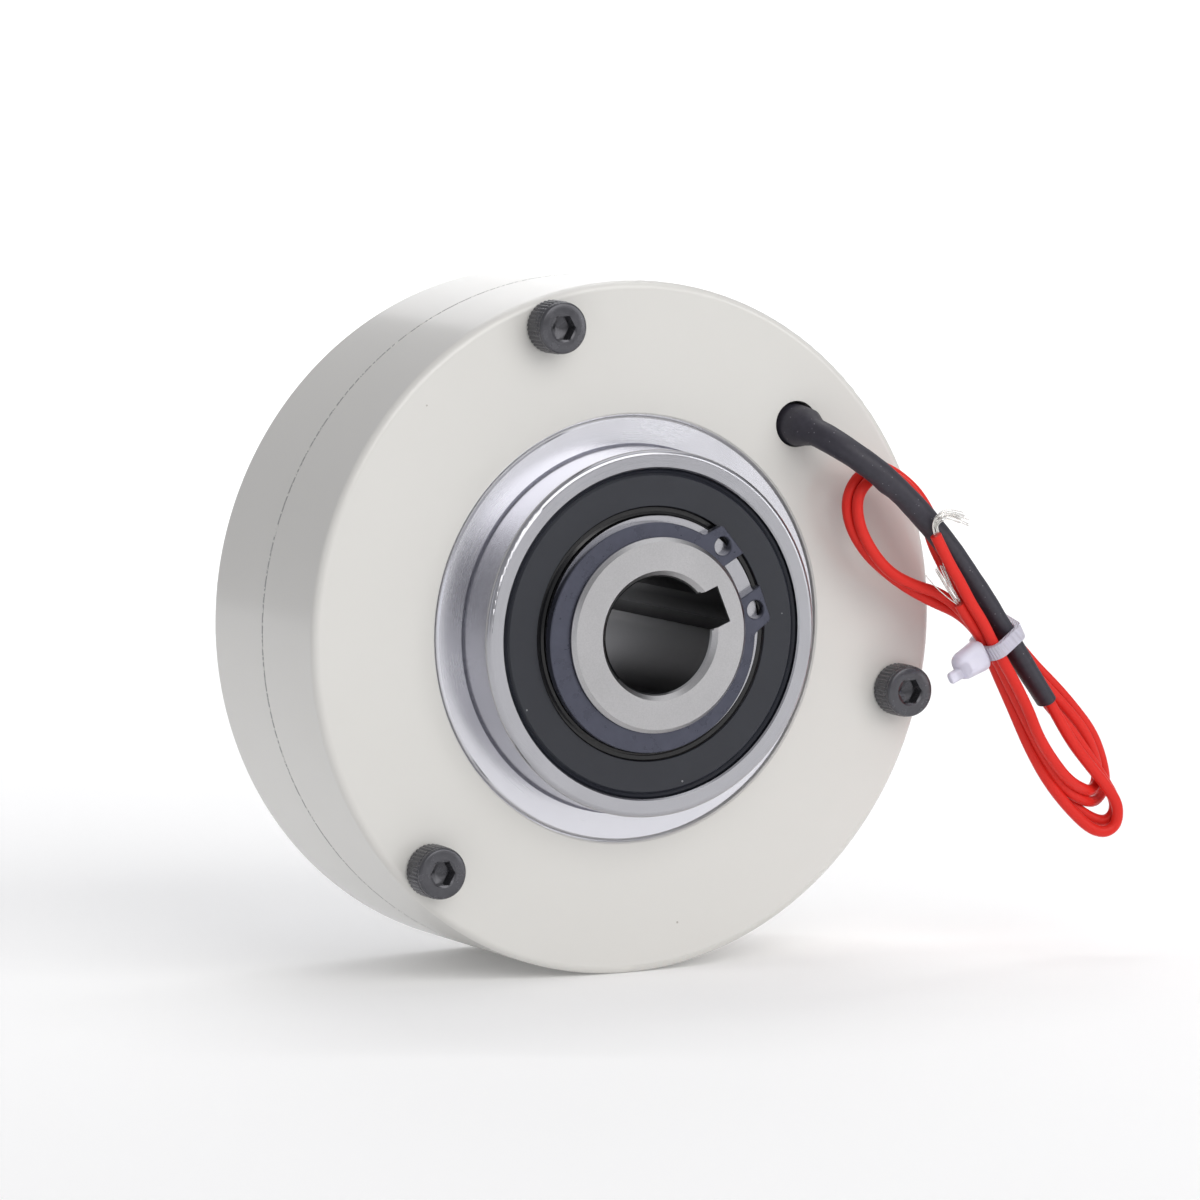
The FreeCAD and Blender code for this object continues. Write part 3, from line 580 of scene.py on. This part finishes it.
class Finish:
    """One material of the record, made of nodes."""

    def __init__(self, name, **plain_values):
        self.material = bpy.data.materials.new(name)
        self.material.use_nodes = True
        self.nodes = self.material.node_tree.nodes
        self.links = self.material.node_tree.links
        self.nodes.clear()
        self.shader = self.nodes.new("ShaderNodeBsdfPrincipled")
        out = self.nodes.new("ShaderNodeOutputMaterial")
        self.links.new(self.shader.outputs[0], out.inputs[0])
        for key, value in plain_values.items():
            self.set(key.replace("_", " ").title().replace("Ior", "IOR"), value)

    def set(self, name, value):
        if isinstance(value, Reading):
            self.links.new(value.socket, self.shader.inputs[name])
        else:
            self.shader.inputs[name].default_value = value

    def node(self, kind, settings=None, inputs=None, output=0):
        made = self.nodes.new(kind)
        for key, value in (settings or {}).items():
            setattr(made, key, value)
        for key, value in (inputs or {}).items():
            if isinstance(value, Reading):
                self.links.new(value.socket, made.inputs[key])
            else:
                made.inputs[key].default_value = value
        return Reading(self, made.outputs[output])

    def maths(self, operation, *values):
        return self.node("ShaderNodeMath", {"operation": operation}, dict(enumerate(values)))

    def place(self):
        return self.node("ShaderNodeTexCoord", output="Object")

    def xyz(self):
        split = self.node("ShaderNodeSeparateXYZ", inputs={0: self.place()})
        return [Reading(self, s) for s in split.socket.node.outputs]

    def radius(self):
        x, y, z = self.xyz()
        return (x * x + z * z).maths("SQRT")

    def noise(self, scale, detail=2.0, vector=None, roughness=0.5):
        return self.node("ShaderNodeTexNoise", inputs={
            "Vector": vector or self.place(), "Scale": scale, "Detail": detail,
            "Roughness": roughness})

    def spots(self, scale, size, share):
        """1 on a few round specks, 0 elsewhere: size is in cells, share is how many have one."""
        cell = self.node("ShaderNodeTexVoronoi", {"feature": "F1"},
                         {"Vector": self.place(), "Scale": scale}, "Distance")
        colour = Reading(self, cell.socket.node.outputs["Color"])
        pick = self.node("ShaderNodeSeparateColor", inputs={0: colour})
        return (cell < size) * (pick < share)

    def mix(self, factor, low, high):
        """Mixes two colours. A plain colour is given as three numbers."""
        low, high = (c if isinstance(c, Reading) else (*c, 1) for c in (low, high))
        return self.node("ShaderNodeMix", {"data_type": "RGBA"}, {0: factor, 6: low, 7: high}, 2)

    def turned_marks(self, per_metre):
        """Fine marks round the shaft's axis: rings on flat faces, lines round cylinders."""
        y = self.xyz()[1]
        vector = self.node("ShaderNodeCombineXYZ", inputs={0: self.radius(), 1: y})
        return self.noise(per_metre, 3.0, vector)

    def bump(self, height, depth, strength=1.0):
        """depth is the height in millimetres that a value of 1 stands for."""
        self.set("Normal", self.node("ShaderNodeBump", inputs={
            "Strength": strength, "Distance": depth / 1000, "Height": height}))


print("finish kit ready")

# %% [markdown]
# ### Paint
# The body is sprayed in a warm white enamel. Sprayed enamel has a slight orange peel, a few dust
# specks, and chipped paint along the joint of the two halves, where a thin dark line shows. The
# peel is a soft noise in the bump, the specks are scattered spots, and the chips are a noise cut
# off to a narrow band round the joint's plane.

# %% Cream paint
joint_plane = -0.015
chip_reach = 0.0002


def cream_paint():
    paint = Finish("cream_paint", roughness=0.34, coat_weight=0.6, coat_roughness=0.14)
    y = paint.xyz()[1]
    cloud = paint.noise(45, 2.0)
    colour = paint.mix(cloud, (0.655, 0.645, 0.615), (0.68, 0.67, 0.643))
    specks = paint.spots(420, 0.07, 0.02)
    colour = paint.mix(specks * 0.6, colour, (0.25, 0.22, 0.18))
    off_joint = (y - joint_plane).maths("ABSOLUTE")
    chips = (off_joint < chip_reach) * (paint.noise(2400, 3.0) > 0.44)
    colour = paint.mix(chips * 0.7, colour, (0.2, 0.2, 0.21))
    paint.set("Base Color", colour)
    paint.bump(paint.noise(260, 2.0), 0.012)
    return paint.material


# %% [markdown]
# ### Turned and ground metal
# The hubs, the bearing rings and the shaft are bare metal with the marks of the tool. Noise that
# reads only the distance from the axis and the place along it gives rings on the faces and lines
# round the sides, as a lathe or a grinder leaves them. What differs is how fine the marks are,
# how bright the metal is, and how much the roughness wanders.

# %% Bare metals
bore_radius = 0.0077
keyway_reach = 0.0102
keyway_half_width = 0.0027
keyway_across = (0.375, -0.927)
bore_chamfer = 0.0004
shaft_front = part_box("hollow_shaft")[0].y
shaft_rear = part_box("hollow_shaft")[1].y


def painted_bore_shade(metal, tone):
    """Painted shade in the bore and the keyway, lighter towards the lower right as painted light on
    the inner wall.
    """
    x, y, z = metal.xyz()
    radius = metal.radius()
    off_keyway = (x * keyway_across[0] + z * keyway_across[1]).maths("ABSOLUTE")
    inside = (radius < bore_radius).maths("MAXIMUM", off_keyway < keyway_half_width)
    deep = (y > shaft_front + bore_chamfer) * (y < shaft_rear - bore_chamfer)
    # Painted light: the shade in the bore turns lighter towards the lower right.
    painted_lower_right_light = (x * 90 - z * 70 - 0.62) * 4
    bore_shade_tones = metal.mix(painted_lower_right_light, (0.06, 0.06, 0.064), (0.42, 0.42, 0.43))
    return metal.mix(inside * deep * (radius < keyway_reach), tone, bore_shade_tones)


def bare_metal(name, colour, roughness, marks, depth, cloud=0.06, grain=0.0):
    metal = Finish(name, metallic=1.0)
    lines = metal.turned_marks(marks)
    smudge = metal.noise(120, 3.0)
    darker = tuple(c * 0.82 for c in colour)
    tone = metal.mix(smudge, darker, colour)
    if grain:
        tone = metal.mix(metal.noise(5200, 2.0) * grain, tone, tuple(c * 0.45 for c in colour))
        # The bore and the keyway get painted shade here, lighter towards the lower right as painted
        # light.
        tone = painted_bore_shade(metal, tone)
    metal.set("Base Color", tone)
    metal.set("Roughness", roughness - cloud / 2 + smudge * cloud + (lines - 0.5) * 0.1)
    metal.bump(lines, depth)
    return metal.material


# %% [markdown]
# ### Blackened steel
# The screws are black oxide, and the retaining rings are phosphated spring steel. Both are dark
# metal under a thin dull skin: low metallic, medium roughness, and a fine grain in the bump.

# %% Black steels
def blackened(name, colour, roughness, shine, grain_depth):
    steel = Finish(name, metallic=0.6)
    smudge = steel.noise(700, 3.0)
    steel.set("Base Color", steel.mix(smudge, colour, tuple(c * shine for c in colour)))
    steel.set("Roughness", roughness - 0.06 + smudge * 0.14)
    steel.bump(steel.noise(4200, 2.0), grain_depth)
    return steel.material


# %% [markdown]
# ### Rubber, plastics and wires
# The seals are moulded nitrile with the faint rings of the mould, and near the shaft their lips
# are painted almost black as painted shade. The sleeve is dull shrunk tube with dust on it. The
# wires are smooth PVC with little gloss, and the tie is nylon that lets some light in. Its band
# has small ribs across it, and its head has none.

# %% Rubber and plastics
shaded_lip_radius = 0.0163
rib_pitch = 0.00055


def seal_rubber():
    rubber = Finish("seal_rubber")
    lines = rubber.turned_marks(1800)
    dust = rubber.spots(900, 0.12, 0.02)
    colour = rubber.mix(rubber.noise(200, 3.0), (0.008, 0.0095, 0.016), (0.014, 0.0165, 0.025))
    # Inside this radius the seal lips are painted almost black as painted shade, and they are also
    # made glossier.
    shaded_lip = rubber.radius() < shaded_lip_radius
    colour = rubber.mix(dust * 0.5, colour, (0.4, 0.4, 0.42))
    rubber.set("Base Color", rubber.mix(shaded_lip, colour, (0.004, 0.004, 0.005)))
    rubber.set("Roughness", 0.42 - shaded_lip * 0.24)
    rubber.bump(lines, 0.01)
    return rubber.material


def black_sleeve():
    tube = Finish("black_sleeve", roughness=0.5)
    dust = tube.spots(2600, 0.22, 0.1)
    colour = tube.mix(tube.noise(1500, 4.0), (0.016, 0.0145, 0.023), (0.038, 0.0345, 0.049))
    tube.set("Base Color", tube.mix(dust * 0.3, colour, (0.4, 0.38, 0.42)))
    tube.bump(tube.noise(1800, 4.0), 0.03)
    return tube.material


def red_wire():
    wire = Finish("red_wire", roughness=0.36, specular_ior_level=0.18)
    colour = wire.mix(wire.noise(160, 2.0), (0.66, 0.022, 0.016), (0.74, 0.034, 0.025))
    wire.set("Base Color", colour)
    wire.bump(wire.noise(1400, 2.0), 0.01)
    return wire.material


def clear_nylon(name, ribbed):
    nylon = Finish(name, roughness=0.3, transmission_weight=0.45, ior=1.45)
    nylon.set("Base Color", nylon.mix(nylon.noise(500, 2.0), (0.76, 0.74, 0.88), (0.9, 0.88, 0.97)))
    if not ribbed:
        nylon.bump(nylon.noise(600, 2.0), 0.02)
        return nylon.material
    along = nylon.node("ShaderNodeVectorMath", {"operation": "DOT_PRODUCT"},
                       {0: nylon.place(), 1: (across.x, 1, across.z)}, "Value")
    nylon.bump((along * (2 * math.pi / rib_pitch)).maths("SINE"), 0.06)
    return nylon.material


def tinned_copper():
    tin = Finish("tinned_copper", metallic=1.0, roughness=0.26)
    tin.set("Base Color", tin.mix(tin.noise(3000, 2.0), (0.55, 0.53, 0.5), (0.95, 0.94, 0.92)))
    return tin.material


# %% [markdown]
# ### What is inside
# The coil, its bobbin and tape, the isolation ring and the felts don't show in the photograph,
# but each gets the look that it has when the brake is opened: copper wound in close layers, felt
# with loose fibres, tape with a slight wrinkle.

# %% Inner materials
coil_pitch = 0.0004


def coil_wire():
    coil = Finish("enamelled_copper", metallic=0.85, roughness=0.3)
    y = coil.xyz()[1]
    coil.set("Base Color", coil.mix(coil.noise(300, 2.0), (0.55, 0.2, 0.08), (0.72, 0.32, 0.14)))
    coil.bump((y * (2 * math.pi / coil_pitch)).maths("SINE"), 0.08)
    return coil.material


def soft_matter(name, low, high, scale, depth, roughness):
    matter = Finish(name, roughness=roughness)
    matter.set("Base Color", matter.mix(matter.noise(scale, 4.0), low, high))
    matter.bump(matter.noise(scale * 2, 4.0), depth)
    return matter.material


# %% One material for each slot of the record
finishes = {
    "cream_paint": cream_paint(),
    "turned_aluminium": bare_metal("turned_aluminium", (0.78, 0.78, 0.83), 0.25, 5200, 0.004, 0.16),
    "bearing_steel": bare_metal("bearing_steel", (0.48, 0.48, 0.51), 0.22, 9000, 0.003, 0.12),
    "ground_steel": bare_metal("ground_steel", (0.57, 0.565, 0.575), 0.32, 4000, 0.003, 0.08, 0.5),
    "soft_iron": bare_metal("soft_iron", (0.5, 0.5, 0.51), 0.34, 3000, 0.008),
    "cage_steel": bare_metal("cage_steel", (0.58, 0.57, 0.55), 0.3, 2000, 0.004),
    "brass_ring": bare_metal("brass_ring", (0.8, 0.6, 0.3), 0.28, 3500, 0.008),
    "black_steel": blackened("black_steel", (0.065, 0.065, 0.072), 0.25, 1.7, 0.008),
    "black_spring_steel": blackened("black_spring_steel", (0.055, 0.058, 0.08), 0.28, 1.5, 0.005),
    "seal_rubber": seal_rubber(),
    "black_sleeve": black_sleeve(),
    "red_wire": red_wire(),
    "clear_nylon": clear_nylon("clear_nylon", False),
    "ribbed_nylon": clear_nylon("ribbed_nylon", True),
    "tinned_copper": tinned_copper(),
    "enamelled_copper": coil_wire(),
    "bobbin_nylon": soft_matter("bobbin_nylon", (0.78, 0.76, 0.7), (0.84, 0.82, 0.76), 300, 0.01,
                                0.45),
    "coil_tape": soft_matter("coil_tape", (0.62, 0.5, 0.14), (0.75, 0.62, 0.22), 250, 0.04, 0.3),
    "felt": soft_matter("felt", (0.38, 0.36, 0.32), (0.56, 0.54, 0.5), 2500, 0.15, 0.95),
}


def paint_piece(piece, slot):
    if not piece.material_slots:
        piece.data.materials.append(None)
    for holder in piece.material_slots:
        holder.material = finishes[slot]


for part in frame["record"]["subparts"]:
    paint_piece(nodes[part["node"]], part["material_slot"])
for piece, slot in ((sleeve, "black_sleeve"), (front_wire, "red_wire"), (back_wire, "red_wire"),
                    (curled_tuft, "tinned_copper"), (fanned_tuft, "tinned_copper"),
                    (tie_band, "ribbed_nylon"), (tie_head, "clear_nylon"),
                    (screw_heads, "black_steel")):
    paint_piece(piece, slot)
print("finishes:", len(finishes))

# %% [markdown]
# ## Floor and light
# The photograph has a plain white ground. The brake stands on its rim, on a pale floor that
# curves up behind it, so no horizon shows. One large soft lamp in front and above gives the even
# light. Smaller ones above, on the left and on the right give the turned metal something to
# reflect, and one more lights the ground behind.

# %% The floor
floor_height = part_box("front_housing")[0].z
floor_half_width = 0.75
floor_half_length = 1.5
bend_radius = 1.0
wall_height = 2.5


def make_floor():
    mesh = bmesh.new()
    bmesh.ops.create_grid(mesh, x_segments=1, y_segments=1, size=1,
                          matrix=Matrix.Diagonal((floor_half_width, floor_half_length, 1, 1)))
    back = [e for e in mesh.edges if all(v.co.y > 0 for v in e.verts)]
    bmesh.ops.spin(mesh, geom=back, cent=(0, floor_half_length, bend_radius), axis=(1, 0, 0),
                   angle=math.radians(90), steps=16, dvec=(0, 0, 0), use_duplicate=False)
    top = [e for e in mesh.edges if all(abs(v.co.z - bend_radius) < 1e-4 for v in e.verts)]
    risen = bmesh.ops.extrude_edge_only(mesh, edges=top)
    bmesh.ops.translate(mesh, vec=(0, 0, wall_height),
                        verts=[v for v in risen["geom"] if isinstance(v, bmesh.types.BMVert)])
    bmesh.ops.translate(mesh, vec=(0, 0, floor_height), verts=mesh.verts)
    turn = Matrix.Rotation(-math.atan2(camera_way.x, camera_way.y), 4, "Z")
    bmesh.ops.transform(mesh, matrix=turn, verts=mesh.verts)
    bmesh.ops.recalc_face_normals(mesh, faces=mesh.faces)
    data = bpy.data.meshes.new("floor")
    mesh.to_mesh(data)
    mesh.free()
    smooth_faces(data)
    floor = in_scene("floor", data)
    ground = Finish("floor", roughness=0.8, emission_color=(1, 1, 1, 1), emission_strength=0.1)
    ground.set("Base Color", ground.mix(ground.noise(6, 2.0), (0.93,) * 3, (0.95,) * 3))
    data.materials.append(ground.material)


make_floor()
print("floor at %.1f mm" % (floor_height * 1000))


# %% The lamps and the sky
def lamp(name, place, aim, width, height, power, colour=(1, 1, 1)):
    light = bpy.data.lights.new(name, "AREA")
    light.shape = "RECTANGLE"
    light.size = width
    light.size_y = height
    light.energy = power
    light.color = colour
    made = in_scene(name, light)
    made.location = place
    made.rotation_mode = "QUATERNION"
    made.rotation_quaternion = (Vector(aim) - Vector(place)).to_track_quat("-Z", "Y")


away = Vector((camera_way.x, camera_way.y, 0)).normalized()
brake = (0, 0, 0)
lamp("key", (0.2, -1.3, 0.8), brake, 1.3, 1.1, 10.6, (1.0, 0.99, 0.97))
lamp("overhead", (0.35, 0.0, 1.0), brake, 0.8, 0.8, 1.7)
lamp("left strip", (-1.1, -0.5, -0.0), brake, 0.2, 1.0, 0.6, (0.93, 0.95, 1.0))
lamp("right fill", (0.8, -0.9, 0.2), brake, 0.2, 0.8, 1.6)
lamp("backdrop lamp", away * 0.9 + Vector((0, 0, 1.5)), away * 2.1 + Vector((0, 0, 0.5)),
     1.2, 0.4, 30)
sky = bpy.data.worlds.new("sky")
sky.use_nodes = True
sky.node_tree.nodes["Background"].inputs["Color"].default_value = (0.97, 0.97, 1, 1)
sky.node_tree.nodes["Background"].inputs["Strength"].default_value = 0.44
bpy.context.scene.world = sky
bpy.context.scene.view_settings.view_transform = "Standard"
bpy.context.scene.view_settings.look = "None"
